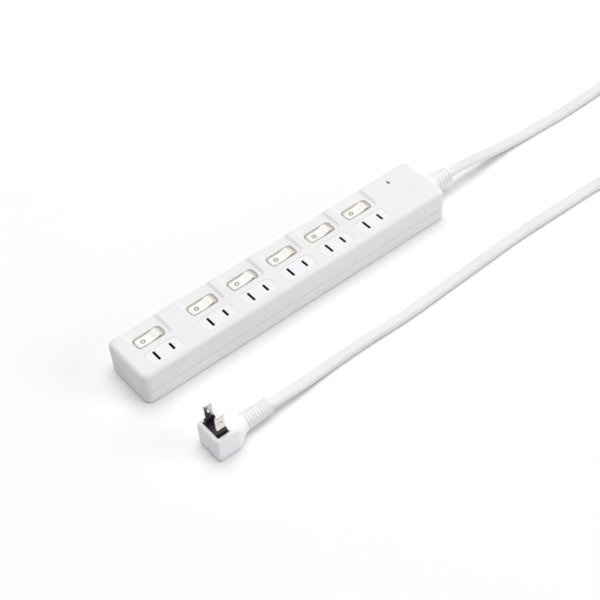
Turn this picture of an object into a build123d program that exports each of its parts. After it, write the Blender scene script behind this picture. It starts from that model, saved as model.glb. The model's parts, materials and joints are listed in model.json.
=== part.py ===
"""Slim power strip: six switched two-pole outlets, a flat supply cord and a right-angle plug.

Row frame, millimetres: X runs along the strip towards the cord, Y across it towards the switches,
Z up.  The origin is the bottom centre of the case.  Every piece is written as one STEP node.
"""
import os
from math import pi, radians, tan

from build123d import *

# ---------------------------------------------------------------- case
CASE_LENGTH = 272.0
CASE_WIDTH = 46.0
CASE_HEIGHT = 27.0
CORNER_RADIUS = 6.0
TOP_EDGE_RADIUS = 4.0
BOTTOM_EDGE_RADIUS = 1.8
WALL = 2.0
SEAM_Z = 11.0
SEAM_GROOVE = 0.3
RIM_OVERLAP = 2.0
RIM_THICKNESS = 0.9
CLEARANCE = 0.05

# ---------------------------------------------------------------- outlets
OUTLET_X = [-110.0, -65.0, -30.0, 5.0, 40.0, 75.0]
SLOT_SPACING = 12.7
SLOT_Y = -11.0
SLOT_WIDTH = 2.0
NEUTRAL_SLOT_LENGTH = 9.0
LIVE_SLOT_LENGTH = 7.0
INSERT_SIZE = (27.0, 14.0)
INSERT_RADIUS = 4.0
INSERT_Y = -11.3
INSERT_FLANGE = (29.6, 16.6)
FLANGE_THICKNESS = 1.5
GUIDE_SIZE = (24.0, 12.0)
GUIDE_BOTTOM_Z = 20.0
INSERT_EDGE = 0.25

# ---------------------------------------------------------------- switches
SWITCH_OFFSET_X = -0.3
SWITCH_Y = 7.5
RECESS_WIDTH = 30.0
RECESS_FRONT_Y = 0.2
RECESS_DEPTH = 2.2
RECESS_SLOPE = 45.0
RECESS_RADIUS = 3.5
RECESS_EDGE = 1.2
RECESS_FOOT = 2.0
FRAME_SIZE = (23.0, 10.4)
FRAME_RADIUS = 2.9
FRAME_WALL = 0.5
FRAME_PROUD = 0.3
FRAME_BOTTOM_Z = 9.5
FRAME_FLOOR = 1.0
FRAME_FLANGE = (25.0, 12.4)
PIVOT_Z = 20.0
ROCKER_TILT = 7.0
ROCKER_SWEEP_RADIUS = 10.7
ROCKER_WIDTH = 8.8
ROCKER_CENTRE_HEIGHT = 4.5
ROCKER_FACE_END = 7.7
ROCKER_END_SLOPE = 0.65
ROCKER_SKIRT = 3.0
ROCKER_WALL = 1.2
ROCKER_CORNER = 2.2
PIN_RADIUS = 1.4
PIN_REACH = 5.05
PLUNGER_RADIUS = 1.5
PLUNGER_TIP = 6.7
ARM_SIZE = (16.0, 3.6, 0.8)
ARM_PIVOT_Z = 12.9
ARM_TILT = 5.5
TRUNNION_REACH = 2.4
LAMP_RADIUS = 1.6
LAMP_LENGTH = 5.6
LAMP_OFFSET_X = 6.5
LAMP_Z = 17.5

# ---------------------------------------------------------------- conductors
STRIP_THICKNESS = 0.8
CONTACT_Z = 8.5
LEAF_THICKNESS = 0.5
LEAF_GAP = 1.6
LEAF_TOP_Z = 19.5
LEAF_Y = (-14.0, -8.0)
CLIP_HALF_WIDTH = 1.9
NEUTRAL_BUS_Y = (-20.0, -17.4)
LIVE_BUS_Y = (6.0, 9.0)
LIVE_BUS_Z = 5.5
BUS_X = (-120.0, 103.0)
LEAD_RADIUS = 1.3

# ---------------------------------------------------------------- case screws
SCREW_PLACES = [(-129.5, 0.0), (-87.5, 0.0), (22.5, 0.0), (128.0, 15.0), (128.0, -15.0)]
SCREW_RADIUS = 1.4
SCREW_HEAD_RADIUS = 2.8
SCREW_HEAD_HEIGHT = 1.8
SCREW_SINK = 0.4
SCREW_TOP_Z = 16.0
BOSS_JOIN_Z = 6.0

# ---------------------------------------------------------------- cord
CORD_WIDTH = 8.2
CORD_HEIGHT = 5.4
CORD_Z = 13.5
BUSHING_END_X = 159.0
BUSHING_BASE_RADIUS = 7.5
BUSHING_TIP_RADIUS = 6.0
BUSHING_NECK_RADIUS = 5.5
CLAMP_X = 120.0
CLAMP_POST_Y = 9.0
JACKET_START_X = 108.0
CORE_SPACING = 3.8

# Route of the cord from the case to the coil, then from the coil to the plug.
STRIP_ROUTE = [(159, 0.0, 13.5), (177, 0.0, 13.2), (199, 0.8, 8.3), (223, 1.4, 3.9), (249, 0.7, 2.8),
               (284, -0.6, 2.75), (322, 0.4, 2.9), (358, 2.2, 3.3), (390, 2.9, 3.4)]
PLUG_ROUTE = [(383, -105.0, 8.6), (354, -97.2, 5.8), (321, -87.4, 3.1), (284, -80.3, 2.75),
              (244, -76.3, 2.8), (202, -75.8, 2.75), (160, -74.8, 2.8), (120, -76.4, 2.75),
              (82, -77.8, 2.8), (46, -79.3, 2.75), (10, -78.0, 2.8), (-23, -78.5, 2.9),
              (-47, -80.3, 4.3), (-66.5, -81.2, 6.8), (-77.3, -81.2, 7.1)]
COIL_CENTRE = (398.0, -52.0)
COIL_RADII = (40.0, 59.6)
COIL_Z = (0.6, 11.8)
TIE_THICKNESS = 0.5
TIE_WIDTH = 9.0

# ---------------------------------------------------------------- plug
PLUG_CENTRE = (-119.6, -81.2)
PLUG_FACE_Z = 20.0
PLUG_FRONT = 8.0
PLUG_BLOCK_REAR = 9.0
PLUG_HALF_WIDTH = 11.8
PLUG_EDGE = 3.0
BOOT_START = 21.0
BOOT_END = 42.3
BOOT_RADII = (7.0, 5.7)
BOOT_Z = 7.1
BOOT_RINGS = 9
PLUG_INSERT = (9.0, 17.1)
PLUG_INSERT_DEPTH = 8.0
PLUG_INSERT_PROUD = 0.3
BLADE_WIDTH = 6.3
BLADE_THICKNESS = 1.5
BLADE_LENGTH = 17.0
BLADE_ROOT_Z = 8.0
BLADE_HOLE_RADIUS = 1.5
BLADE_HOLE_HEIGHT = 11.6
SLEEVE_HEIGHT = 4.5
SLEEVE_WALL = 0.5

BOTTOM = (Align.CENTER, Align.CENTER, Align.MIN)
RECESS_FLOOR_Z = CASE_HEIGHT - RECESS_DEPTH


def block(x_range, y_range, z_range):
    """Rectangular block between three pairs of limits."""
    size = [high - low for low, high in (x_range, y_range, z_range)]
    centre = [(low + high) / 2 for low, high in (x_range, y_range, z_range)]
    return Pos(*centre) * Box(*size)


def slab(size, radius, z_low, z_high, x=0.0, y=0.0):
    """Upright prism with a rounded rectangular outline."""
    return Pos(x, y, z_low) * extrude(RectangleRounded(*size, radius), amount=z_high - z_low)


def post(x, y, z_low, z_high, radius):
    """Upright cylinder."""
    return Pos(x, y, z_low) * Cylinder(radius, z_high - z_low, align=BOTTOM)


def rod_x(x_low, x_high, y, z, radius, end_radius=None):
    """Cylinder or cone lying along X."""
    end_radius = radius if end_radius is None else end_radius
    length = x_high - x_low
    if end_radius == radius:
        solid = Cylinder(radius, length, align=BOTTOM)
    else:
        solid = Cone(radius, end_radius, length, align=BOTTOM)
    return Pos(x_low, y, z) * Rot(0, 90, 0) * solid


def rod_y(x, y_low, y_high, z, radius):
    """Cylinder lying along Y."""
    return Pos(x, (y_low + y_high) / 2, z) * Rot(90, 0, 0) * Cylinder(radius, y_high - y_low)


def oval(x_low, x_high, y, z, margin=0.0):
    """Length of the flat cord lying along X, grown by a margin all round."""
    width = CORD_WIDTH + 2 * margin
    height = CORD_HEIGHT + 2 * margin
    section = Plane.YZ * SlotOverall(width, height)
    return Pos(x_low, y, z) * extrude(section, amount=x_high - x_low)


# ================================================================ case shells
def case_outside():
    """Whole outer form of the case, with the sunk fields of the switches."""
    body = slab((CASE_LENGTH, CASE_WIDTH), CORNER_RADIUS, 0, CASE_HEIGHT)
    body = fillet(body.edges().group_by(Axis.Z)[-1], TOP_EDGE_RADIUS)
    body = fillet(body.edges().group_by(Axis.Z)[0], BOTTOM_EDGE_RADIUS)
    reach = CASE_WIDTH
    for x in OUTLET_X:
        outline = Pos(x, RECESS_FRONT_Y + reach / 2) * RectangleRounded(RECESS_WIDTH, reach, RECESS_RADIUS)
        field = extrude(Pos(0, 0, CASE_HEIGHT) * outline, amount=-RECESS_DEPTH, taper=RECESS_SLOPE)
        body -= fillet(field.edges().group_by(Axis.Z)[0], RECESS_FOOT)
    rims = [edge for edge in body.edges().group_by(Axis.Z)[-1] if edge.center().Y > -1
            and min(abs(edge.center().X - x) for x in OUTLET_X) < RECESS_WIDTH / 2 + 0.1]
    return fillet(rims, RECESS_EDGE)


def case_hollow():
    """Space inside the case; it is lower under the sunk fields."""
    size = (CASE_LENGTH - 2 * WALL, CASE_WIDTH - 2 * WALL)
    hollow = slab(size, CORNER_RADIUS - WALL, WALL, CASE_HEIGHT - WALL)
    half = RECESS_WIDTH / 2 + WALL
    back = CASE_WIDTH
    ceiling = (RECESS_FLOOR_Z - WALL, CASE_HEIGHT)
    first, others = OUTLET_X[0], OUTLET_X[1:]
    for low, high in ((first - half, first + half), (others[0] - half, others[-1] + half)):
        hollow -= block((low, high), (RECESS_FRONT_Y - WALL, back), ceiling)
    return hollow


def lap_rim(growth):
    """Thin rim that the base sends up inside the cover, to keep the two in line."""
    wide = CASE_LENGTH - 2 * WALL + 2 * growth
    deep = CASE_WIDTH - 2 * WALL + 2 * growth
    return slab((wide, deep), CORNER_RADIUS - WALL + growth, SEAM_Z, SEAM_Z + RIM_OVERLAP)


def upper_cover(outside, hollow):
    above = block((-CASE_LENGTH, CASE_LENGTH), (-CASE_WIDTH, CASE_WIDTH), (SEAM_Z, CASE_HEIGHT + 1))
    cover = (outside - hollow) & above
    cover -= lap_rim(RIM_THICKNESS + CLEARANCE)
    for x, y in SCREW_PLACES:
        boss = post(x, y, BOSS_JOIN_Z, CASE_HEIGHT - WALL, SCREW_HEAD_RADIUS)
        cover += boss - post(x, y, BOSS_JOIN_Z, SCREW_TOP_Z + 1, SCREW_RADIUS)
    for x in OUTLET_X:
        cover -= slab(INSERT_SIZE, INSERT_RADIUS, CASE_HEIGHT - WALL, CASE_HEIGHT, x, INSERT_Y)
        window = [side + 2 * CLEARANCE for side in FRAME_SIZE]
        cover -= slab(window, FRAME_RADIUS, RECESS_FLOOR_Z - WALL, CASE_HEIGHT,
                      x + SWITCH_OFFSET_X, SWITCH_Y)
    cover -= rod_x(CASE_LENGTH / 2 - 2 * WALL, CASE_LENGTH / 2 + 1, 0, CORD_Z, BUSHING_NECK_RADIUS)
    return cover


def base_cover(outside, hollow):
    below = block((-CASE_LENGTH, CASE_LENGTH), (-CASE_WIDTH, CASE_WIDTH), (-1, SEAM_Z))
    base = (outside - hollow) & below
    groove_outline = (CASE_LENGTH - 2 * SEAM_GROOVE, CASE_WIDTH - 2 * SEAM_GROOVE)
    groove_low = SEAM_Z - SEAM_GROOVE
    groove = slab((CASE_LENGTH + 2, CASE_WIDTH + 2), CORNER_RADIUS + 1, groove_low, SEAM_Z)
    groove -= slab(groove_outline, CORNER_RADIUS - SEAM_GROOVE, groove_low, SEAM_Z)
    base -= groove
    base += lap_rim(RIM_THICKNESS) - lap_rim(0)
    for x, y in SCREW_PLACES:
        base += post(x, y, 0, BOSS_JOIN_Z, SCREW_HEAD_RADIUS + 1.2)
        base -= post(x, y, 0, SCREW_SINK + SCREW_HEAD_HEIGHT, SCREW_HEAD_RADIUS + 0.2)
        base -= post(x, y, 0, BOSS_JOIN_Z, SCREW_RADIUS + 0.2)
    cord_underside = CORD_Z - CORD_HEIGHT / 2
    base += block((CLAMP_X - 4, CLAMP_X + 4), (-6, 6), (WALL, cord_underside))
    for side in (-1, 1):
        base += post(CLAMP_X, side * CLAMP_POST_Y, WALL, CORD_Z + CORD_HEIGHT / 2, 2.5)
        base -= post(CLAMP_X, side * CLAMP_POST_Y, WALL + 2, CORD_Z + CORD_HEIGHT, 1.1)
    base -= rod_x(CASE_LENGTH / 2 - 2 * WALL, CASE_LENGTH / 2 + 1, 0, CORD_Z, BUSHING_NECK_RADIUS)
    return base


def case_screws():
    """Pan-head screws that hold the base to the cover from below."""
    screws = []
    for x, y in SCREW_PLACES:
        head_top = SCREW_SINK + SCREW_HEAD_HEIGHT
        screw = post(x, y, SCREW_SINK, head_top, SCREW_HEAD_RADIUS)
        screw = fillet(screw.edges().group_by(Axis.Z)[0], 0.6)
        screw += post(x, y, head_top, SCREW_TOP_Z, SCREW_RADIUS)
        for size in ((3.0, 0.7), (0.7, 3.0)):
            screw -= block((x - size[0] / 2, x + size[0] / 2), (y - size[1] / 2, y + size[1] / 2),
                           (SCREW_SINK, SCREW_SINK + 1.0))
        screws.append(screw)
    return screws


# ================================================================ outlets
def outlet_slots(x, z_low, z_high, growth=0.0):
    """The two blade slots of one outlet, the neutral one longer."""
    slots = []
    for side, length in ((-1, NEUTRAL_SLOT_LENGTH), (1, LIVE_SLOT_LENGTH)):
        size = (SLOT_WIDTH + growth, length + growth)
        slots.append(slab(size, SLOT_WIDTH * 0.35, z_low, z_high, x + side * SLOT_SPACING / 2, SLOT_Y))
    return slots


def outlet_insert(x):
    """Heat-resistant block whose face fills the cover's window round the slots."""
    top = CASE_HEIGHT
    under = top - WALL
    face = [side - 2 * CLEARANCE for side in INSERT_SIZE]
    insert = slab(face, INSERT_RADIUS - CLEARANCE, under, top, x, INSERT_Y)
    insert = chamfer(insert.edges().group_by(Axis.Z)[-1], INSERT_EDGE)
    insert += slab(INSERT_FLANGE, INSERT_RADIUS, under - FLANGE_THICKNESS, under, x, INSERT_Y)
    insert += slab(GUIDE_SIZE, 2.0, GUIDE_BOTTOM_Z, under - FLANGE_THICKNESS, x, INSERT_Y)
    for slot in outlet_slots(x, GUIDE_BOTTOM_Z, top):
        insert -= slot
    return insert


def blade_clip(x):
    """Pair of spring leaves that grip one blade, on a short base plate."""
    base_top = CONTACT_Z + STRIP_THICKNESS
    clip = block((x - CLIP_HALF_WIDTH, x + CLIP_HALF_WIDTH), (LEAF_Y[0] - 0.5, LEAF_Y[1] + 0.5),
                 (CONTACT_Z, base_top))
    near = LEAF_GAP / 2
    for low, high in ((-near - LEAF_THICKNESS, -near), (near, near + LEAF_THICKNESS)):
        clip += block((x + low, x + high), LEAF_Y, (base_top, LEAF_TOP_Z))
    return clip


def neutral_bus():
    """Common strip along the front with a clip under every long slot."""
    level = (CONTACT_Z, CONTACT_Z + STRIP_THICKNESS)
    bus = block(BUS_X, NEUTRAL_BUS_Y, level)
    for x in OUTLET_X:
        slot_x = x - SLOT_SPACING / 2
        bus += blade_clip(slot_x)
        bus += block((slot_x - CLIP_HALF_WIDTH, slot_x + CLIP_HALF_WIDTH),
                     (NEUTRAL_BUS_Y[0], LEAF_Y[0]), level)
    return bus


def live_contact(x):
    """Clip under the short slot, with a strip that leads to the switch's middle post."""
    level = (CONTACT_Z, CONTACT_Z + STRIP_THICKNESS)
    slot_x = x + SLOT_SPACING / 2
    switch_x = x + SWITCH_OFFSET_X
    cross_y = (-2.6, 0.4)
    contact = blade_clip(slot_x)
    contact += block((slot_x - CLIP_HALF_WIDTH, slot_x + CLIP_HALF_WIDTH), (LEAF_Y[1], cross_y[1]), level)
    contact += block((switch_x - 1.5, slot_x + CLIP_HALF_WIDTH), cross_y, level)
    contact += block((switch_x - 1.5, switch_x + 1.5), (cross_y[0], SWITCH_Y + 1.5), level)
    contact += block((switch_x - 0.4, switch_x + 0.4), (SWITCH_Y - 1.5, SWITCH_Y + 1.5),
                     (CONTACT_Z, ARM_PIVOT_Z - ARM_SIZE[2] / 2 - 0.3))
    return contact


def live_bus():
    """Common strip under the switches with a fixed contact standing up into each one."""
    bus = block(BUS_X, LIVE_BUS_Y, (LIVE_BUS_Z, LIVE_BUS_Z + STRIP_THICKNESS))
    pad_top = ARM_PIVOT_Z - ARM_SIZE[2] / 2 - 1.35
    for x in OUTLET_X:
        tab_x = x + SWITCH_OFFSET_X - ARM_SIZE[0] / 2 + 1.2
        bus += block((tab_x - 0.4, tab_x + 0.4), (SWITCH_Y - 1.5, SWITCH_Y + 1.5), (LIVE_BUS_Z, pad_top))
        bus += post(tab_x, SWITCH_Y, pad_top - 0.4, pad_top, 1.1)
    return bus


# ================================================================ switches
def switch_frame(x):
    """Open-topped box that carries one rocker and its contacts."""
    x += SWITCH_OFFSET_X
    floor_z = FRAME_BOTTOM_Z + FRAME_FLOOR
    inside = [side - 2 * FRAME_WALL for side in FRAME_SIZE]
    rim_z = RECESS_FLOOR_Z + FRAME_PROUD
    frame = slab(FRAME_SIZE, FRAME_RADIUS, FRAME_BOTTOM_Z, rim_z, x, SWITCH_Y)
    under = RECESS_FLOOR_Z - WALL
    frame += slab(FRAME_FLANGE, FRAME_RADIUS + 0.9, under - FLANGE_THICKNESS, under, x, SWITCH_Y)
    frame -= slab(inside, FRAME_RADIUS - FRAME_WALL, floor_z, rim_z, x, SWITCH_Y)
    frame -= rod_y(x, SWITCH_Y - PIN_REACH - 0.05, SWITCH_Y + PIN_REACH + 0.05, PIVOT_Z,
                   PIN_RADIUS + CLEARANCE)
    for post_x in (x, x - ARM_SIZE[0] / 2 + 1.2):
        frame -= block((post_x - 0.5, post_x + 0.5), (SWITCH_Y - 1.6, SWITCH_Y + 1.6),
                       (FRAME_BOTTOM_Z, floor_z))
    return frame


def rocker_form(inset):
    """Rocker's shallow-V block about its pivot, level; the inset gives its hollow.

    The half that stands up at off ends in a slope that runs down to the frame's rim.
    """
    reach = ROCKER_SWEEP_RADIUS - inset
    centre = ROCKER_CENTRE_HEIGHT - inset
    bottom = -ROCKER_SKIRT if inset == 0 else -2 * ROCKER_SKIRT
    slope = tan(radians(ROCKER_TILT))
    fall = (reach - ROCKER_FACE_END) * ROCKER_END_SLOPE
    outline = Polygon((-reach, bottom), (reach, bottom), (reach, centre + reach * slope - fall),
                      (ROCKER_FACE_END, centre + ROCKER_FACE_END * slope), (0, centre),
                      (-reach, centre + reach * slope), align=None)
    outline &= Circle(reach)
    width = ROCKER_WIDTH - 2 * inset
    form = extrude(Plane.XZ * outline, amount=width / 2, both=True)
    corner = ROCKER_CORNER - inset * 0.8
    return form & slab((2 * reach, width), corner, -2 * ROCKER_SKIRT, 3 * ROCKER_CENTRE_HEIGHT)


def placed_rocker_part(form, x):
    """Tilts a rocker piece to the off position and puts it on its pivot."""
    return Pos(x + SWITCH_OFFSET_X, SWITCH_Y, PIVOT_Z) * Rot(0, -ROCKER_TILT, 0) * form


def rocker(x):
    """Hollow rocker with two pivot pins and a tube for its plunger."""
    hollow = rocker_form(ROCKER_WALL)
    form = rocker_form(0) - hollow
    pin = rod_y(0, ROCKER_WIDTH / 2 - 0.6, PIN_REACH, 0, PIN_RADIUS)
    form += pin + Rot(0, 0, 180) * pin
    tube = post(0, 0, -ROCKER_SKIRT, ROCKER_CENTRE_HEIGHT - ROCKER_WALL + 0.3, PLUNGER_RADIUS + 0.9)
    tube -= post(0, 0, -ROCKER_SKIRT, ROCKER_CENTRE_HEIGHT - ROCKER_WALL - 0.8, PLUNGER_RADIUS + CLEARANCE)
    form += tube
    return placed_rocker_part(form, x)


def rocker_plunger(x):
    """Round-nosed pin that presses on the contact arm."""
    straight = PLUNGER_TIP - PLUNGER_RADIUS
    pin = post(0, 0, -straight, 0.6, PLUNGER_RADIUS)
    pin += Pos(0, 0, -straight) * Sphere(PLUNGER_RADIUS)
    return placed_rocker_part(pin, x)


def contact_arm(x):
    """Seesaw plate on two round trunnions, with a contact button under its left end."""
    length, width, thickness = ARM_SIZE
    arm = Box(length, width, thickness)
    arm += post(-length / 2 + 1.2, 0, -thickness / 2 - 0.45, -thickness / 2, 1.1)
    arm += rod_y(0, -TRUNNION_REACH, TRUNNION_REACH, 0, thickness / 2)
    return Pos(x + SWITCH_OFFSET_X, SWITCH_Y, ARM_PIVOT_Z) * Rot(0, ARM_TILT, 0) * arm


def neon_lamps():
    """Small glow lamp under the right half of each rocker, on two stiff wires."""
    lamps = []
    for x in OUTLET_X:
        lamp_x = x + SWITCH_OFFSET_X + LAMP_OFFSET_X
        lamp = rod_y(lamp_x, SWITCH_Y - LAMP_LENGTH / 2, SWITCH_Y + LAMP_LENGTH / 2, LAMP_Z, LAMP_RADIUS)
        for side in (-1, 1):
            wire_y = SWITCH_Y + side * (LAMP_LENGTH / 2 - 0.35)
            lamp += post(lamp_x, wire_y, FRAME_BOTTOM_Z + FRAME_FLOOR, LAMP_Z - 1, 0.25)
        lamps.append(lamp)
    return lamps


def neon_resistors():
    """Series resistors of the lamps, lying on the base behind the switches."""
    radius = 1.1
    resistors = []
    for x in OUTLET_X:
        body = rod_x(x - 3.2, x + 3.2, 18.0, WALL + radius + 0.1, radius)
        body += rod_x(x - 6.2, x + 6.2, 18.0, WALL + radius + 0.1, 0.3)
        resistors.append(body)
    return resistors


# ================================================================ parts at the cord end
def varistor():
    """Disc surge absorber between the two strips, on two wires."""
    x, y, z = 101.0, -8.7, 13.4
    disc = rod_x(x - 2, x + 2, y, z, 4.8)
    wire = 0.4
    for wire_y, end_y in ((y - 2.5, NEUTRAL_BUS_Y[1]), (y + 2.5, LIVE_BUS_Y[0])):
        end_z = CONTACT_Z + 0.4 if end_y < y else LIVE_BUS_Z + 0.4
        disc += post(x, wire_y, end_z - wire, z - 3, wire)
        low, high = min(wire_y, end_y), max(wire_y, end_y)
        disc += rod_y(x, low, high, end_z, wire)
    return disc


def bent_wire(points, bend_radius, radius):
    """Round wire along straight runs joined by arcs."""
    path = FilletPolyline(*points, radius=bend_radius)
    return sweep(Plane(points[0], z_dir=path % 0) * Circle(radius), path=path)


def live_lead():
    y = CORE_SPACING / 2
    far_y = sum(LIVE_BUS_Y) / 2
    turn_x = 99.0
    return bent_wire([(JACKET_START_X, y, CORD_Z), (turn_x, y, CORD_Z), (turn_x, far_y, CORD_Z),
                      (turn_x, far_y, LIVE_BUS_Z + STRIP_THICKNESS)], 2.6, LEAD_RADIUS)


def neutral_lead():
    y = -CORE_SPACING / 2
    far_y = sum(NEUTRAL_BUS_Y) / 2
    turn_x = 96.0
    return bent_wire([(JACKET_START_X, y, CORD_Z), (turn_x, y, CORD_Z), (turn_x, far_y, CORD_Z),
                      (turn_x, far_y, CONTACT_Z + STRIP_THICKNESS)], 2.6, LEAD_RADIUS)


def cord_clamp():
    """Bar that two screws pull down on the cord."""
    low = CORD_Z + CORD_HEIGHT / 2
    bar = block((CLAMP_X - 3, CLAMP_X + 3), (-12.0, 12.0), (low, low + 2.8))
    for side in (-1, 1):
        bar -= post(CLAMP_X, side * CLAMP_POST_Y, low, low + 2.8, 1.3)
    return bar


def clamp_screws():
    screws = []
    top = CORD_Z + CORD_HEIGHT / 2 + 2.8
    for side in (-1, 1):
        screw = post(CLAMP_X, side * CLAMP_POST_Y, WALL + 4, top, 1.1)
        screws.append(screw + post(CLAMP_X, side * CLAMP_POST_Y, top, top + 1.5, 2.4))
    return screws


def cord_bushing():
    """Flexible sleeve that holds the cord in the end wall, ribbed at its tip."""
    wall_out = CASE_LENGTH / 2
    rib_start = wall_out + 12.0
    slope = (BUSHING_BASE_RADIUS - BUSHING_TIP_RADIUS) / (BUSHING_END_X - wall_out)
    rib_radius = BUSHING_BASE_RADIUS - slope * (rib_start - wall_out)
    bushing = rod_x(wall_out - 4.4, wall_out - WALL - 0.1, 0, CORD_Z, BUSHING_BASE_RADIUS)
    bushing += rod_x(wall_out - WALL - 0.1, wall_out + 0.1, 0, CORD_Z, BUSHING_NECK_RADIUS - CLEARANCE)
    bushing += rod_x(wall_out + 0.1, rib_start, 0, CORD_Z, BUSHING_BASE_RADIUS, rib_radius)
    ribs = 4
    pitch = (BUSHING_END_X - rib_start) / ribs
    for index in range(ribs):
        x = rib_start + index * pitch
        radius = rib_radius - slope * index * pitch
        bushing += rod_x(x, x + 0.4 * pitch, 0, CORD_Z, radius - 1.1)
        bushing += rod_x(x + 0.4 * pitch, x + pitch, 0, CORD_Z, radius)
    return bushing - oval(wall_out - 6, BUSHING_END_X, 0, CORD_Z)


def cord_jacket():
    """Length of cord inside the bushing and the clamp."""
    return oval(JACKET_START_X, BUSHING_END_X, 0, CORD_Z)


# ================================================================ free cord
def corner_radii(points):
    """Largest even arc for each corner: 0.45 of the shorter run over tan(half the turn)."""
    radii = []
    for before, corner, after in zip(points, points[1:], points[2:]):
        run_in = Vector(*corner) - Vector(*before)
        run_out = Vector(*after) - Vector(*corner)
        turn = radians(run_in.get_angle(run_out))
        radii.append(0.45 * min(run_in.length, run_out.length) / tan(turn / 2))
    return radii


def cord_tube(name, points):
    """Flat cord lying level along a route of straight runs and tangent arcs."""
    radii = corner_radii(points)
    path = FilletPolyline(*points, radius=radii)
    start = Plane(origin=points[0], z_dir=path % 0, x_dir=Vector(0, 0, 1).cross(path % 0))
    section = start * SlotOverall(CORD_WIDTH, CORD_HEIGHT)
    tube = sweep(section, path=path)
    area = pi * CORD_HEIGHT ** 2 / 4 + (CORD_WIDTH - CORD_HEIGHT) * CORD_HEIGHT
    print(name, "length %.1f" % path.length, "radii", ["%.0f" % radius for radius in radii])
    print(name, "volume %.0f, section times length %.0f" % (tube.volume, area * path.length))
    return tube


def cord_coil():
    """Outer shape of the put-away coil: one flat ring."""
    ring = post(*COIL_CENTRE, *COIL_Z, COIL_RADII[1]) - post(*COIL_CENTRE, *COIL_Z, COIL_RADII[0])
    return fillet(ring.edges(), 2.0)


def coil_tie():
    """Strap round the coil's section."""
    x, y = COIL_CENTRE
    gap = 0.05
    inner = ((x + COIL_RADII[0] - 0.6 - gap, x + COIL_RADII[1] + gap), (COIL_Z[0] - gap, COIL_Z[1] + gap))
    outer = [(low - TIE_THICKNESS, high + TIE_THICKNESS) for low, high in inner]
    across = (y - TIE_WIDTH / 2, y + TIE_WIDTH / 2)
    return block(outer[0], across, outer[1]) - block(inner[0], across, inner[1])


# ================================================================ plug
def plug_body():
    """Moulded right-angle body lying on its back, with a ribbed boot towards the cord."""
    px, py = PLUG_CENTRE
    rear = px + PLUG_BLOCK_REAR
    size = (PLUG_FRONT + PLUG_BLOCK_REAR, 2 * PLUG_HALF_WIDTH)
    body = slab(size, PLUG_EDGE, 0, PLUG_FACE_Z, px + (PLUG_BLOCK_REAR - PLUG_FRONT) / 2, py)
    section = Plane(origin=(rear - PLUG_EDGE, py, PLUG_FACE_Z / 2), x_dir=(0, 1, 0), z_dir=(1, 0, 0))
    ring = Plane(origin=(px + BOOT_START, py, BOOT_Z), x_dir=(0, 1, 0), z_dir=(1, 0, 0))
    shoulder = loft([section * RectangleRounded(size[1], PLUG_FACE_Z, PLUG_EDGE),
                     ring * Circle(BOOT_RADII[0])])
    body = fillet(body.edges().group_by(Axis.Z)[-1] + body.edges().group_by(Axis.Z)[0], 1.6)
    body += shoulder
    pitch = (BOOT_END - BOOT_START) / BOOT_RINGS
    for index in range(BOOT_RINGS):
        share = index / (BOOT_RINGS - 1)
        radius = BOOT_RADII[0] + share * (BOOT_RADII[1] - BOOT_RADII[0])
        x = px + BOOT_START + index * pitch
        body += rod_x(x, x + 0.4 * pitch, py, BOOT_Z, radius - 0.9)
        body += rod_x(x + 0.4 * pitch, x + pitch, py, BOOT_Z, radius)
    pocket = block((px - PLUG_INSERT[0] / 2, px + PLUG_INSERT[0] / 2),
                   (py - PLUG_INSERT[1] / 2, py + PLUG_INSERT[1] / 2),
                   (PLUG_FACE_Z - PLUG_INSERT_DEPTH, PLUG_FACE_Z))
    body -= pocket
    for blade in plug_blades():
        body -= blade
    return body


def blade_prism(side, z_low, z_high, growth=0.0):
    px, py = PLUG_CENTRE
    y = py + side * SLOT_SPACING / 2
    half_width = BLADE_WIDTH / 2 + growth
    half_thickness = BLADE_THICKNESS / 2 + growth
    return block((px - half_width, px + half_width), (y - half_thickness, y + half_thickness),
                 (z_low, z_high))


def plug_insert():
    """Black block that holds the blades, with a sleeve round the root of each."""
    px, py = PLUG_CENTRE
    top = PLUG_FACE_Z + PLUG_INSERT_PROUD
    insert = block((px - PLUG_INSERT[0] / 2, px + PLUG_INSERT[0] / 2),
                   (py - PLUG_INSERT[1] / 2, py + PLUG_INSERT[1] / 2),
                   (PLUG_FACE_Z - PLUG_INSERT_DEPTH, top))
    for side in (-1, 1):
        insert += blade_prism(side, top, PLUG_FACE_Z + SLEEVE_HEIGHT, SLEEVE_WALL)
        insert -= blade_prism(side, PLUG_FACE_Z - PLUG_INSERT_DEPTH, PLUG_FACE_Z + SLEEVE_HEIGHT)
    return insert


def plug_blades():
    blades = []
    top = PLUG_FACE_Z + BLADE_LENGTH
    for side in (-1, 1):
        blade = blade_prism(side, BLADE_ROOT_Z, top)
        blade = chamfer(blade.edges().group_by(Axis.Z)[-1], 0.4)
        px, py = PLUG_CENTRE
        y = py + side * SLOT_SPACING / 2
        blade -= rod_y(px, y - BLADE_THICKNESS, y + BLADE_THICKNESS, PLUG_FACE_Z + BLADE_HOLE_HEIGHT,
                       BLADE_HOLE_RADIUS)
        blades.append(blade)
    return blades


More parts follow.
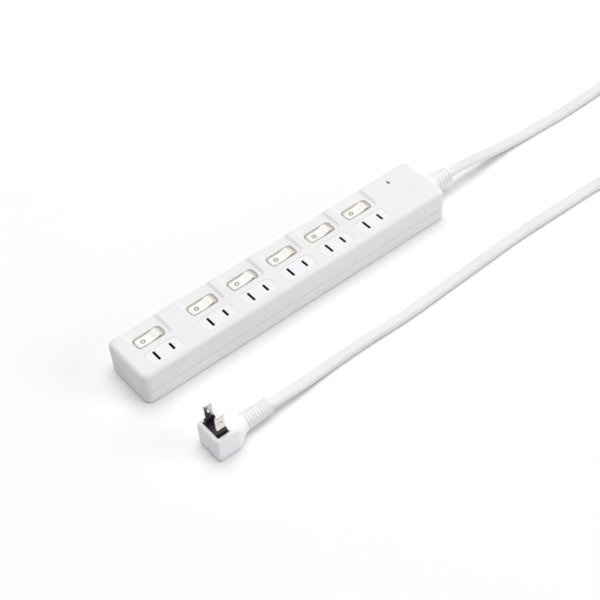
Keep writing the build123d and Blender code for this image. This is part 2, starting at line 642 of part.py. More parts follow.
# ================================================================ all nodes
def build_nodes():
    """Every node of the object, by name."""
    outside = case_outside()
    hollow = case_hollow()
    nodes = {
        "upper_cover": upper_cover(outside, hollow),
        "base_cover": base_cover(outside, hollow),
        "case_screws": case_screws(),
        "neutral_bus": neutral_bus(),
        "live_bus": live_bus(),
        "neon_lamps": neon_lamps(),
        "neon_resistors": neon_resistors(),
        "varistor": varistor(),
        "live_lead": live_lead(),
        "neutral_lead": neutral_lead(),
        "cord_clamp": cord_clamp(),
        "clamp_screws": clamp_screws(),
        "cord_bushing": cord_bushing(),
        "cord_jacket": cord_jacket(),
        "cord_strip_run": cord_tube("cord_strip_run", STRIP_ROUTE),
        "cord_plug_run": cord_tube("cord_plug_run", PLUG_ROUTE),
        "cord_coil": cord_coil(),
        "coil_tie": coil_tie(),
        "plug_body": plug_body(),
        "plug_insert": plug_insert(),
        "plug_blades": plug_blades(),
    }
    makers = (outlet_insert, live_contact, switch_frame, rocker, rocker_plunger, contact_arm)
    for number, x in enumerate(OUTLET_X, start=1):
        for make in makers:
            nodes["%s_%d" % (make.__name__, number)] = make(x)
    return nodes


def main():
    os.makedirs("parts", exist_ok=True)
    for name, shape in build_nodes().items():
        if isinstance(shape, list):
            shape = Compound(children=[solid for piece in shape for solid in piece.solids()])
        export_step(shape, "parts/%s.step" % name)


main()
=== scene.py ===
"""Looks of the white power strip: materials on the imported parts, and detailed moulded pieces and cord."""
import json
from math import cos, hypot, pi, radians, sin, sqrt, tan

import bmesh
import bpy
from mathutils import Matrix, Vector


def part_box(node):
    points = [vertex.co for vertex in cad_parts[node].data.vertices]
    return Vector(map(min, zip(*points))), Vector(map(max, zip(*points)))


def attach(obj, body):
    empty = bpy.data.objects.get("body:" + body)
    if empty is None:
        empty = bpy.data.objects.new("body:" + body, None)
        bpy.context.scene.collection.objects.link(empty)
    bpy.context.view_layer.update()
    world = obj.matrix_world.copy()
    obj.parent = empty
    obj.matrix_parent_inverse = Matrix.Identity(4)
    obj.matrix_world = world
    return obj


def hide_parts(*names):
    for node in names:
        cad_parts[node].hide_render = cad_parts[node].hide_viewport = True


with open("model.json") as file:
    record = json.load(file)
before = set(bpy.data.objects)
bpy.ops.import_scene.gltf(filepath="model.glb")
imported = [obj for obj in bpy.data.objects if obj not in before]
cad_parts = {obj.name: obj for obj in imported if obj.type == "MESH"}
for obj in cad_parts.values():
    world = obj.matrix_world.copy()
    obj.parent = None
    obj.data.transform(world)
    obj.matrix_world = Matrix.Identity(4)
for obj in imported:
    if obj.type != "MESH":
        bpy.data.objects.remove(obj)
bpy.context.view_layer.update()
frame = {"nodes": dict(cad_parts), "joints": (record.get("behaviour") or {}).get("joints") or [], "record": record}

MM = 0.001
OUTLETS = range(1, 7)

# ---------------------------------------------------------------- view and light
CAMERA_PLACE = (-0.3750, -0.5561, 0.7096)
CAMERA_LOOK = (0.3885, 0.5582, -0.7331)
CAMERA_UP = (0.4939, 0.5455, 0.6771)
CAMERA_LENS = 81.13
FLOOR_HALF = 6.0

# ---------------------------------------------------------------- cord, in metres
CORD_WIDTH = 8.2 * MM
CORD_HEIGHT = 5.4 * MM
COIL_CENTRE = (0.398, -0.052)
COIL_OUTER = 55.2 * MM
COIL_INNER = 44.4 * MM
COIL_TURNS = 2.54
COIL_START = radians(90)
COIL_LOW = 3.3 * MM
COIL_HIGH = 9.1 * MM
COIL_STEPS = 18
COIL_CLIMB_TURNS = 0.4
STRIP_ROUTE = [(0.159, 0.0, 0.0135), (0.177, 0.0, 0.0132), (0.199, 0.0008, 0.0083),
               (0.223, 0.0014, 0.0039), (0.249, 0.0007, 0.0028), (0.284, -0.0006, 0.00275),
               (0.322, 0.0004, 0.0029), (0.358, 0.0022, 0.0033)]
PLUG_ROUTE = [(0.354, -0.0972, 0.0058), (0.321, -0.0874, 0.0031), (0.284, -0.0803, 0.00275),
              (0.244, -0.0763, 0.0028), (0.202, -0.0758, 0.00275), (0.160, -0.0748, 0.0028),
              (0.120, -0.0764, 0.00275), (0.082, -0.0778, 0.0028), (0.046, -0.0793, 0.00275),
              (0.010, -0.0780, 0.0028), (-0.023, -0.0785, 0.0029), (-0.047, -0.0803, 0.0043),
              (-0.0665, -0.0812, 0.0068), (-0.0773, -0.0812, 0.0071)]


# ================================================================ mesh helpers
def add_object(name, mesh, material, body, replaced=(), place=None):
    """Puts a mesh in the scene as a smooth piece that rides on a body."""
    obj = bpy.data.objects.new(name, mesh)
    bpy.context.collection.objects.link(obj)
    if place:
        obj.matrix_world = place
    mesh.materials.append(material)
    mesh.shade_smooth()
    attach(obj, body)
    if replaced:
        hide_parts(*replaced)
    return obj


def mesh_from(name, verts, faces):
    mesh = bpy.data.meshes.new(name)
    mesh.from_pydata([tuple(v) for v in verts], [], faces)
    work = bmesh.new()
    work.from_mesh(mesh)
    bmesh.ops.recalc_face_normals(work, faces=work.faces)
    work.to_mesh(mesh)
    work.free()
    return mesh


def loft(name, rings, close_ends=True):
    """Skin over closed rings that all have the same number of points."""
    count = len(rings[0])
    verts = [point for ring in rings for point in ring]
    faces = []
    for index in range(len(rings) - 1):
        low, high = index * count, (index + 1) * count
        for k in range(count):
            after = (k + 1) % count
            faces.append((low + k, low + after, high + after, high + k))
    if close_ends:
        faces.append(tuple(range(count))[::-1])
        faces.append(tuple(range(len(verts) - count, len(verts))))
    return mesh_from(name, verts, faces)


def rounded_outline(half_x, half_y, radius, steps=6, along=0):
    """Points round a rectangle with round corners, anticlockwise from the right side.

    Both sides that run along X get some extra points when asked for.
    """
    points = []
    corners = ((1, 1, 0), (-1, 1, 90), (-1, -1, 180), (1, -1, 270))
    for side_x, side_y, start in corners:
        for k in range(steps + 1):
            angle = radians(start + 90 * k / steps)
            points.append((side_x * (half_x - radius) + radius * cos(angle),
                           side_y * (half_y - radius) + radius * sin(angle)))
        if side_x == side_y:
            x, y = points[-1]
            points += [(x * (1 - 2 * k / (along + 1)), y) for k in range(1, along + 1)]
    return points


def merged(mesh):
    """Joins points that coincide and turns all faces outwards."""
    work = bmesh.new()
    work.from_mesh(mesh)
    bmesh.ops.remove_doubles(work, verts=work.verts, dist=1e-6)
    bmesh.ops.recalc_face_normals(work, faces=work.faces)
    work.to_mesh(mesh)
    work.free()
    return mesh


def bevelled(obj, width, segments=3, angle=35):
    """Rounds the sharp edges and keeps the flats flat."""
    bevel = obj.modifiers.new("edges", "BEVEL")
    bevel.width = width
    bevel.segments = segments
    bevel.limit_method = "ANGLE"
    bevel.angle_limit = radians(angle)
    bevel.harden_normals = True
    return obj


# ================================================================ materials
def noise(nodes, links, vector, scale, detail=3.0, rough=0.5):
    node = nodes.new("ShaderNodeTexNoise")
    node.inputs["Scale"].default_value = scale
    node.inputs["Detail"].default_value = detail
    node.inputs["Roughness"].default_value = rough
    links.new(vector, node.inputs["Vector"])
    return node.outputs["Fac"]


def spread(nodes, links, factor, low, high):
    """Maps a noise to a narrow range of numbers."""
    node = nodes.new("ShaderNodeMapRange")
    node.inputs["From Min"].default_value = 0.3
    node.inputs["From Max"].default_value = 0.7
    node.inputs["To Min"].default_value = low
    node.inputs["To Max"].default_value = high
    links.new(factor, node.inputs["Value"])
    return node.outputs["Result"]


def moulded(name, colour, roughness=0.45, shade=0.04, grain=900.0, relief=0.00003, clouds=22.0, **sockets):
    """Moulded plastic or rubber: cloudy colour, uneven gloss and a fine spark-eroded grain."""
    material = bpy.data.materials.new(name)
    material.use_nodes = True
    nodes, links = material.node_tree.nodes, material.node_tree.links
    shader = nodes["Principled BSDF"]
    place = nodes.new("ShaderNodeTexCoord").outputs["Object"]
    cloud = noise(nodes, links, place, clouds, 4.0)
    mix = nodes.new("ShaderNodeMix")
    mix.data_type = "RGBA"
    mix.inputs["A"].default_value = tuple(c * (1 - shade) for c in colour) + (1.0,)
    mix.inputs["B"].default_value = tuple(colour) + (1.0,)
    links.new(spread(nodes, links, cloud, 0.0, 1.0), mix.inputs["Factor"])
    links.new(mix.outputs["Result"], shader.inputs["Base Color"])
    smear = noise(nodes, links, place, clouds * 6, 2.0)
    links.new(spread(nodes, links, smear, roughness - 0.05, roughness + 0.05), shader.inputs["Roughness"])
    bump = nodes.new("ShaderNodeBump")
    bump.inputs["Strength"].default_value = 0.5
    bump.inputs["Distance"].default_value = relief
    links.new(noise(nodes, links, place, grain, 2.0, 0.6), bump.inputs["Height"])
    links.new(bump.outputs["Normal"], shader.inputs["Normal"])
    for socket, value in sockets.items():
        shader.inputs[socket.replace("_", " ")].default_value = value
    return material


# Where a tint fades in: the value at which it starts and the one at which it is full.
SLOT_DEPTH = (26.75 * MM, 25.7 * MM)
RIM_HEIGHT = (24.95 * MM, 25.08 * MM)
FIELD_WALL_FOOT = (24.82 * MM, 24.95 * MM)
FIELD_WALL_TOP = (26.9 * MM, 26.3 * MM)
PAST_LEFT_END = (-125.0 * MM, -121.0 * MM)
FACES_LEFT = (-0.05, -0.4)
BOOT_FROM = (-101.0 * MM, -98.0 * MM)
END_SLOPE_FROM = (7.5 * MM, 7.9 * MM)
BACK_EDGE_FROM = (3.85 * MM, 4.1 * MM)
FACES_FRONT = (-0.3, -0.7)
BEFORE_RIGHT_END = (9.5 * MM, 6.0 * MM)
# Where the painted shade at the front corner of the rockers' raised end sits.
CORNER_SHADE_CENTRE = (0.0072, -0.0042, 0.0050)
CORNER_SHADE_RADIUS = (0.75 * MM, 0.45 * MM)

# Painted shade inside the blade slots.
SLOT_SHADE_COLOUR = (0.022, 0.019, 0.026)
# Painted shade of the gap round each rocker, on the frame's rim.
RIM_SHADE_COLOUR = (0.12, 0.115, 0.09)
# Painted light on the walls at the right end of the sunk fields.
FIELD_WALL_LIGHT_COLOUR = (0.985, 0.98, 0.975)
BOOT_COLOUR = (0.93, 0.93, 0.915)
# Painted shade on the rockers' end slope.
END_SLOPE_SHADE_COLOUR = (0.70, 0.69, 0.65)
# Painted shade along the rockers' back edge.
BACK_EDGE_SHADE_COLOUR = (0.52, 0.50, 0.44)
# The rockers' tan tint together with painted shade on their front side.
FRONT_SIDE_TINT_AND_SHADE_COLOUR = (0.60, 0.52, 0.38)
# Painted shade at the front corner of the rockers' raised end.
CORNER_SHADE_COLOUR = (0.22, 0.20, 0.15)


def mask(nodes, links, value, fade):
    """Rises from 0 at the fade's first value to 1 at its second, which may be the lower one."""
    node = nodes.new("ShaderNodeMapRange")
    node.inputs["From Min"].default_value = fade[0]
    node.inputs["From Max"].default_value = fade[1]
    links.new(value, node.inputs["Value"])
    return node.outputs["Result"]


def product(nodes, links, first, second):
    node = nodes.new("ShaderNodeMath")
    node.operation = "MULTIPLY"
    links.new(first, node.inputs[0])
    links.new(second, node.inputs[1])
    return node.outputs["Value"]


def tint(material, colour, factor):
    """Mixes a second colour over a material's own where the factor is 1."""
    nodes, links = material.node_tree.nodes, material.node_tree.links
    base = nodes["Principled BSDF"].inputs["Base Color"]
    mix = nodes.new("ShaderNodeMix")
    mix.data_type = "RGBA"
    links.new(base.links[0].from_socket, mix.inputs["A"])
    mix.inputs["B"].default_value = tuple(colour) + (1.0,)
    links.new(factor, mix.inputs["Factor"])
    links.new(mix.outputs["Result"], base)
    return material


def axis_value(material, output, axis):
    """One coordinate of the object's own position or normal."""
    nodes, links = material.node_tree.nodes, material.node_tree.links
    coordinates = next(node for node in nodes if node.type == "TEX_COORD")
    parts = nodes.new("ShaderNodeSeparateXYZ")
    links.new(coordinates.outputs[output], parts.inputs["Vector"])
    return parts.outputs[axis]


def slot_shaded(material):
    """Painted shade: darkens the inside of the blade slots, below the face of the insert, where shade falls."""
    nodes, links = material.node_tree.nodes, material.node_tree.links
    height = axis_value(material, "Object", "Z")
    return tint(material, SLOT_SHADE_COLOUR, mask(nodes, links, height, SLOT_DEPTH))


def rim_shaded(material):
    """Painted shade: dark rim at the top of a switch frame, above its paler walls, for the shade in the gap round
    the rocker.
    """
    nodes, links = material.node_tree.nodes, material.node_tree.links
    height = axis_value(material, "Object", "Z")
    return tint(material, RIM_SHADE_COLOUR, mask(nodes, links, height, RIM_HEIGHT))


def wall_painted_light(material):
    """Painted light: paler walls at the right end of the sunk fields, in place of light through thin white
    plastic.

    They are found by height, by facing left, and by lying to the right of the case's left end wall.
    """
    nodes, links = material.node_tree.nodes, material.node_tree.links
    height = axis_value(material, "Object", "Z")
    inner = mask(nodes, links, axis_value(material, "Object", "X"), PAST_LEFT_END)
    facing = mask(nodes, links, axis_value(material, "Normal", "X"), FACES_LEFT)
    wall = product(nodes, links, mask(nodes, links, height, FIELD_WALL_FOOT),
                   mask(nodes, links, height, FIELD_WALL_TOP))
    lit = product(nodes, links, wall, product(nodes, links, inner, facing))
    return tint(material, FIELD_WALL_LIGHT_COLOUR, lit)


def boot_tinted(material):
    """Warmer ribbed boot beyond the plug's bluish body."""
    nodes, links = material.node_tree.nodes, material.node_tree.links
    along = axis_value(material, "Object", "X")
    return tint(material, BOOT_COLOUR, mask(nodes, links, along, BOOT_FROM))


def side_tint_and_shade(material):
    """Painted shade on the rocker's clear plastic: grey end slope and back edge, and a tan front side that is the
    plastic's own tan tint darkened with painted shade.

    A small dark spot of painted shade sits in the front side, at the corner of the raised end.
    """
    nodes, links = material.node_tree.nodes, material.node_tree.links
    along = axis_value(material, "Object", "X")
    across = axis_value(material, "Object", "Y")
    tint(material, END_SLOPE_SHADE_COLOUR, mask(nodes, links, along, END_SLOPE_FROM))
    tint(material, BACK_EDGE_SHADE_COLOUR, mask(nodes, links, across, BACK_EDGE_FROM))
    front = mask(nodes, links, axis_value(material, "Normal", "Y"), FACES_FRONT)
    warm = mask(nodes, links, along, BEFORE_RIGHT_END)
    tint(material, FRONT_SIDE_TINT_AND_SHADE_COLOUR, product(nodes, links, front, warm))
    distance = nodes.new("ShaderNodeVectorMath")
    distance.operation = "DISTANCE"
    coordinates = next(node for node in nodes if node.type == "TEX_COORD")
    links.new(coordinates.outputs["Object"], distance.inputs[0])
    distance.inputs[1].default_value = CORNER_SHADE_CENTRE
    return tint(material, CORNER_SHADE_COLOUR, mask(nodes, links, distance.outputs["Value"], CORNER_SHADE_RADIUS))


def metal(name, colour, roughness=0.3, scratch=0.00002, along=(1.0, 1.0, 1.0)):
    """Rolled or plated metal with fine drawn lines and uneven brightness."""
    material = moulded(name, colour, roughness, shade=0.18, grain=1500.0, relief=scratch, clouds=90.0,
                       Metallic=1.0)
    nodes, links = material.node_tree.nodes, material.node_tree.links
    coordinates = next(node for node in nodes if node.type == "TEX_COORD")
    stretch = nodes.new("ShaderNodeMapping")
    stretch.inputs["Scale"].default_value = along
    links.new(coordinates.outputs["Object"], stretch.inputs["Vector"])
    for node in nodes:
        if node.type == "TEX_NOISE":
            links.new(stretch.outputs["Vector"], node.inputs["Vector"])
    return material


CASE = wall_painted_light(moulded("case_plastic", (0.85, 0.85, 0.85), 0.6, Specular_IOR_Level=0.3))
INSERT = slot_shaded(moulded("insert_plastic", (0.875, 0.87, 0.885), 0.5, shade=0.02))
# Painted light: the frames glow faintly, in place of the light that comes through clear plastic.
FRAME = rim_shaded(moulded("frame_plastic", (0.93, 0.91, 0.84), 0.25, shade=0.06, relief=0.00001,
                       Emission_Color=(0.88, 0.86, 0.79, 1.0), Emission_Strength=0.14))
ROCKER = side_tint_and_shade(moulded("rocker_plastic", (0.935, 0.925, 0.885), 0.22, shade=0.02, relief=0.00001,
                             Coat_Weight=0.3, IOR=1.49))
MARK = moulded("ring_mark", (0.42, 0.40, 0.35), 0.35, shade=0.15)
PLUNGER = moulded("plunger_plastic", (0.80, 0.80, 0.76), 0.4)
CORD = moulded("cord_pvc", (0.84, 0.84, 0.82), 0.5, shade=0.05, grain=700.0, relief=0.00005, clouds=35.0)
BUSHING = moulded("bushing_pvc", (0.89, 0.89, 0.88), 0.5, shade=0.05, grain=700.0, relief=0.00005)
PLUG = boot_tinted(moulded("plug_pvc", (0.93, 0.93, 0.95), 0.5, shade=0.04, grain=800.0, relief=0.00004))
BLACK = moulded("black_plastic", (0.012, 0.012, 0.016), 0.35, shade=0.3)
TIE = moulded("tie_fabric", (0.035, 0.035, 0.04), 0.85, shade=0.4, grain=2600.0, relief=0.0002, clouds=300.0)
CLAMP = moulded("clamp_plastic", (0.60, 0.60, 0.58), 0.5)
PRINT = moulded("print_ink", (0.05, 0.05, 0.06), 0.5, shade=0.3)
BRASS = metal("brass", (0.80, 0.60, 0.28), 0.28, along=(1.0, 8.0, 8.0))
STEEL = metal("zinc_steel", (0.62, 0.63, 0.64), 0.34)
NICKEL = metal("nickel", (0.83, 0.80, 0.74), 0.24, along=(6.0, 6.0, 1.0))
LAMP = moulded("lamp_glass", (0.95, 0.72, 0.55), 0.08, shade=0.1, relief=0.0, Transmission_Weight=0.9)
RESISTOR = moulded("resistor_lacquer", (0.62, 0.48, 0.30), 0.3, shade=0.2)
VARISTOR = moulded("varistor_lacquer", (0.05, 0.14, 0.42), 0.3, shade=0.2)
LIVE = moulded("live_insulation", (0.03, 0.03, 0.03), 0.45, shade=0.2)
NEUTRAL = moulded("neutral_insulation", (0.78, 0.78, 0.76), 0.45)

SLOT_MATERIALS = {
    "case_plastic": CASE, "insert_plastic": INSERT, "frame_plastic": FRAME, "rocker_plastic": ROCKER,
    "plunger_plastic": PLUNGER, "brass": BRASS, "steel": STEEL, "lamp_glass": LAMP,
    "resistor_lacquer": RESISTOR, "varistor_lacquer": VARISTOR, "live_insulation": LIVE,
    "neutral_insulation": NEUTRAL, "clamp_plastic": CLAMP, "bushing_pvc": BUSHING, "cord_pvc": CORD,
    "tie_plastic": TIE, "plug_pvc": PLUG, "black_plastic": BLACK, "blade_metal": NICKEL,
}


def dress_cad_nodes():
    """Gives every CAD node the finished material of its slot."""
    slots = {part["node"]: part["material_slot"] for part in frame["record"]["subparts"]}
    for name, obj in frame["nodes"].items():
        for place in obj.material_slots:
            place.material = SLOT_MATERIALS[slots[name]]


# ================================================================ rockers
ROCKER_TILT = radians(7)
ROCKER_SWEEP = 10.7 * MM
ROCKER_HALF_X = 10.7 * MM
ROCKER_HALF_Y = 4.4 * MM
ROCKER_CENTRE = 4.5 * MM
ROCKER_SKIRT = 3.0 * MM
ROCKER_EDGE = 0.55 * MM
ROCKER_WALL = 1.2 * MM
ROCKER_CORNER = 2.2 * MM
ROCKER_VALLEY = 0.9 * MM
ROCKER_FACE_END = 7.7 * MM
ROCKER_END_SLOPE = 0.65
SHARPEST_CORNER = 0.15 * MM
PIN_SPANS = ((-5.05, -3.4), (3.4, 5.05))
PIN_RADIUS = 1.4 * MM
TUBE_RADIUS = 2.4 * MM
TUBE_LENGTH = 6.4 * MM
TUBE_MIDDLE = 0.2 * MM


def rocker_top(x):
    """Height of the shallow V, softened at its middle, with a slope down at its right end."""
    rise = (hypot(x, ROCKER_VALLEY) - ROCKER_VALLEY) * tan(ROCKER_TILT)
    fall = max(0.0, x - ROCKER_FACE_END) * ROCKER_END_SLOPE
    return ROCKER_CENTRE + rise - fall


def rocker_ring(inset, drop, share=1.0):
    """One closed line round the rocker: inset from its sides, drop below the top.

    The share slides the line down the walls: 1 is at the top edge and 0 at the skirt.
    """
    ring = []
    outline = rounded_outline(ROCKER_HALF_X - inset, ROCKER_HALF_Y - inset,
                              max(ROCKER_CORNER - inset, SHARPEST_CORNER), 5, 21)
    for x, y in outline:
        top = rocker_top(x) - drop
        z = -ROCKER_SKIRT + share * (top + ROCKER_SKIRT)
        reach = sqrt(ROCKER_SWEEP ** 2 - z ** 2) / ROCKER_SWEEP
        ring.append(Vector((x * reach, y, z)))
    return ring


def rocker_lid(last, drop):
    """Rings that shrink from the last one to a short line along the middle."""
    half_line = ROCKER_HALF_X - ROCKER_HALF_Y
    rings, steps = [], 6
    for step in range(1, steps + 1):
        share = step / steps
        ring = []
        for point in last:
            middle = max(-half_line, min(half_line, point.x))
            x = point.x + (middle - point.x) * share
            y = point.y * (1 - share)
            ring.append(Vector((x, y, rocker_top(x) - drop)))
        rings.append(ring)
    return rings


def rocker_mesh(number):
    outside = [rocker_ring(0.0, ROCKER_EDGE, share) for share in (0.0, 0.25, 0.5, 0.75, 1.0)]
    edge_steps = 4
    for step in range(1, edge_steps + 1):
        angle = radians(90 * step / edge_steps)
        outside.append(rocker_ring(ROCKER_EDGE * (1 - cos(angle)), ROCKER_EDGE * (1 - sin(angle))))
    outside += rocker_lid(outside[-1], 0.0)
    inside = [rocker_ring(ROCKER_WALL, ROCKER_WALL, share) for share in (0.0, 0.5, 1.0)]
    inside += rocker_lid(inside[-1], ROCKER_WALL)
    return merged(loft("rocker_%d" % number, outside[::-1] + inside, close_ends=False))


def rocker_place(number):
    """Turn and shift that take a level rocker to its pivot, at off."""
    joint = next(j for j in frame["joints"] if j["name"] == "rock_%d" % number)
    return Matrix.Translation(joint["pos_m"]) @ Matrix.Rotation(-ROCKER_TILT, 4, "Y")


def ring_mark_mesh(name):
    """Raised circle on the off half."""
    centre_x, middle, half_line, height = -4.4 * MM, 1.35 * MM, 0.5 * MM, 0.12 * MM
    sides = ((-half_line, -0.1 * MM), (-half_line, height * 0.7), (-half_line * 0.5, height),
             (half_line * 0.5, height), (half_line, height * 0.7), (half_line, -0.1 * MM))
    verts, faces = [], []
    count, steps = len(sides), 40
    for k in range(steps):
        angle = 2 * pi * k / steps
        for offset, lift in sides:
            x = centre_x + (middle + offset) * cos(angle)
            verts.append(Vector((x, (middle + offset) * sin(angle), rocker_top(x) + lift)))
    for k in range(steps):
        for s in range(count):
            after, up = (k + 1) % steps, (s + 1) % count
            faces.append((k * count + s, after * count + s, after * count + up, k * count + up))
    return mesh_from(name, verts, faces)


def grip_rib_mesh(name):
    """Thin ribs along the half that stands up."""
    ribs, pitch, half_width, height = 5, 1.1 * MM, 0.2 * MM, 0.1 * MM
    start_x, end_x = 1.8 * MM, 6.9 * MM
    verts, faces = [], []
    section = ((-1.0, -0.1 * MM), (-0.8, height * 0.6), (0.0, height), (0.8, height * 0.6), (1.0, -0.1 * MM))
    steps = 10
    for line in range(ribs):
        y = (line - ribs // 2) * pitch
        first = len(verts)
        for k in range(steps + 1):
            x = start_x + (end_x - start_x) * k / steps
            fade = min(1.0, 0.25 + 3.0 * min(k, steps - k) / steps)
            for side, lift in section:
                verts.append(Vector((x, y + side * half_width, rocker_top(x) + lift * fade)))
        count = len(section)
        for k in range(steps):
            for s in range(count):
                up = (s + 1) % count
                low, high = first + k * count, first + (k + 1) * count
                faces.append((low + s, high + s, high + up, low + up))
        faces.append(tuple(first + s for s in range(count)))
        faces.append(tuple(first + steps * count + s for s in range(count)))
    return mesh_from(name, verts, faces)


def rocker_core_mesh(name):
    """Pivot pins and the plunger's tube, on the inside of the rocker."""
    work = bmesh.new()
    pins = Matrix.Rotation(radians(90), 4, "X")
    for low, high in PIN_SPANS:
        middle = Matrix.Translation((0, (low + high) / 2 * MM, 0))
        bmesh.ops.create_cone(work, cap_ends=True, segments=32, radius1=PIN_RADIUS, radius2=PIN_RADIUS,
                              depth=(high - low) * MM, matrix=middle @ pins)
    bmesh.ops.create_cone(work, cap_ends=True, segments=32, radius1=TUBE_RADIUS, radius2=TUBE_RADIUS,
                          depth=TUBE_LENGTH, matrix=Matrix.Translation((0, 0, TUBE_MIDDLE)))
    mesh = bpy.data.meshes.new(name)
    work.to_mesh(mesh)
    work.free()
    return mesh


def build_rockers():
    for number in OUTLETS:
        body = "switch_%d" % number
        place = rocker_place(number)
        shell = rocker_mesh(number)
        core = rocker_core_mesh("rocker_core_%d" % number)
        mark = ring_mark_mesh("off_mark_%d" % number)
        ribs = grip_rib_mesh("grip_ribs_%d" % number)
        add_object("rocker_shell_%d" % number, shell, ROCKER, body,
                   ("rocker_%d" % number,), place)
        core = add_object("rocker_core_%d" % number, core, ROCKER, body, place=place)
        bevelled(core, 0.15 * MM)
        add_object("off_mark_%d" % number, mark, MARK, body, place=place)
        add_object("grip_ribs_%d" % number, ribs, ROCKER, body, place=place)


# ================================================================ cord
def smooth_step(share):
    share = max(0.0, min(1.0, share))
    return share * share * (3 - 2 * share)


def coil_points():
    """Turns wound inwards on the floor, then outwards on top of them."""
    points = []
    steps = round(COIL_TURNS * COIL_STEPS)
    half = COIL_TURNS / 2
    for k in range(steps + 1):
        turn = COIL_TURNS * k / steps
        from_middle = abs(turn - half) / half
        radius = COIL_INNER + (COIL_OUTER - COIL_INNER) * from_middle
        climb = smooth_step((turn - half) / COIL_CLIMB_TURNS + 0.5)
        angle = COIL_START - 2 * pi * turn
        points.append((COIL_CENTRE[0] + radius * cos(angle), COIL_CENTRE[1] + radius * sin(angle),
                       COIL_LOW + (COIL_HIGH - COIL_LOW) * climb))
    return points


def cord_line():
    """Smooth line through the whole route, as closely spaced points."""
    route = STRIP_ROUTE + coil_points() + PLUG_ROUTE
    curve = bpy.data.curves.new("cord_line", "CURVE")
    curve.dimensions = "3D"
    curve.resolution_u = 12
    spline = curve.splines.new("NURBS")
    spline.points.add(len(route) - 1)
    for point, place in zip(spline.points, route):
        point.co = (*place, 1.0)
    spline.order_u = 3
    spline.use_endpoint_u = True
    guide = bpy.data.objects.new("cord_line", curve)
    bpy.context.collection.objects.link(guide)
    mesh = bpy.data.meshes.new_from_object(guide)
    line = [v.co.copy() for v in mesh.vertices]
    bpy.data.objects.remove(guide)
    bpy.data.meshes.remove(mesh)
    return line


def cord_section():
    """Flat oval with a shallow valley along the middle of both faces, where the cores meet."""
    half_line = (CORD_WIDTH - CORD_HEIGHT) / 2
    radius = CORD_HEIGHT / 2
    valley, steps = 0.22 * MM, 10
    points = []
    for side, start in ((1, -90), (-1, 90)):
        for k in range(steps + 1):
            angle = radians(start + 180 * k / steps)
            points.append((side * half_line + radius * cos(angle), radius * sin(angle)))
        for share in (0.6, 0.25, 0.0, -0.25, -0.6):
            depth = valley * (1 - abs(share)) ** 1.5
            points.append((side * half_line * share, side * (radius - depth)))
    return points


def cord_mesh(line):
    """Sweeps the section along the line and keeps it level."""
    section = cord_section()
    rings = []
    for index, point in enumerate(line):
        before = line[max(index - 1, 0)]
        after = line[min(index + 1, len(line) - 1)]
        ahead = (after - before).normalized()
        across = Vector((0, 0, 1)).cross(ahead).normalized()
        up = ahead.cross(across)
        rings.append([point + across * a + up * b for a, b in section])
    return loft("cord", rings)


def build_cord():
    line = cord_line()
    cord = add_object("cord", cord_mesh(line), CORD, "case",
                      ("cord_strip_run", "cord_coil", "cord_plug_run"))


# ================================================================ sleeve at the case
BUSHING_AXIS = Vector((0.0, 0.0, 0.0135))
BUSHING_BASE_X = 0.1361
BUSHING_TIP_X = 0.159
BUSHING_RADII = (7.5 * MM, 6.0 * MM)
BUSHING_RIBS = 4
BUSHING_RIB_START = 0.1455


def turned_mesh(name, axis, profile, steps=64):
    """Body of revolution about a line along X, from (x, radius) pairs."""
    rings = []
    for x, radius in profile:
        ring = []
        for k in range(steps):
            angle = 2 * pi * k / steps
            ring.append(Vector((x, axis.y + radius * cos(angle), axis.z + radius * sin(angle))))
        rings.append(ring)
    return loft(name, rings)


def ribbed_profile(start_x, end_x, start_radius, end_radius, ribs, depth):
    """Rounded ribs with narrow valleys between them, on a taper."""
    profile = []
    pitch = (end_x - start_x) / ribs
    for index in range(ribs):
        for share, dip in ((0.0, 1.0), (0.2, 1.0), (0.32, 0.6), (0.42, 0.2), (0.54, 0.0), (0.76, 0.0),
                           (0.88, 0.2), (0.97, 0.6)):
            x = start_x + (index + share) * pitch
            radius = start_radius + (end_radius - start_radius) * (x - start_x) / (end_x - start_x)
            profile.append((x, radius - depth * dip))
    return profile


def build_bushing():
    base_radius, tip_radius = BUSHING_RADII
    slope = (tip_radius - base_radius) / (BUSHING_TIP_X - BUSHING_BASE_X)
    rib_radius = base_radius + slope * (BUSHING_RIB_START - BUSHING_BASE_X)
    profile = [(BUSHING_BASE_X - 4.5 * MM, 0.6 * base_radius), (BUSHING_BASE_X - 4.5 * MM, base_radius),
               (BUSHING_BASE_X - 2.2 * MM, base_radius), (BUSHING_BASE_X - 2.2 * MM, 5.4 * MM),
               (BUSHING_BASE_X, 5.4 * MM), (BUSHING_BASE_X, base_radius - 0.3 * MM),
               (BUSHING_BASE_X + 0.3 * MM, base_radius), (BUSHING_RIB_START - 0.3 * MM, rib_radius)]
    profile += ribbed_profile(BUSHING_RIB_START, BUSHING_TIP_X - 0.5 * MM, rib_radius, tip_radius,
                              BUSHING_RIBS, 0.9 * MM)
    profile += [(BUSHING_TIP_X - 0.3 * MM, tip_radius - 0.25 * MM), (BUSHING_TIP_X, tip_radius - 0.9 * MM),
                (BUSHING_TIP_X, 4.4 * MM)]
    mesh = turned_mesh("bushing", BUSHING_AXIS, profile)
    return add_object("bushing_sleeve", mesh, BUSHING, "case", ("cord_bushing",))


# ================================================================ plug
PLUG_CENTRE = Vector((-0.1196, -0.0812, 0.0))
PLUG_FACE = 20.0 * MM
PLUG_FRONT = -8.0 * MM
PLUG_HALF_WIDTH = 11.8 * MM
BOOT_START = 21.0 * MM
BOOT_END = 42.3 * MM
BOOT_RADII = (7.0 * MM, 5.7 * MM)
BOOT_Z = 7.1 * MM
BOOT_RIBS = 9
PLUG_EDGE = 2.6 * MM


def plug_ring(u, half_width, low, high, radius, steps=6):
    """Upright rounded rectangle across the plug at a distance from its blades."""
    half_height, middle = (high - low) / 2, (high + low) / 2
    return [PLUG_CENTRE + Vector((u, y, middle + z))
            for y, z in rounded_outline(half_width, half_height, radius, steps)]


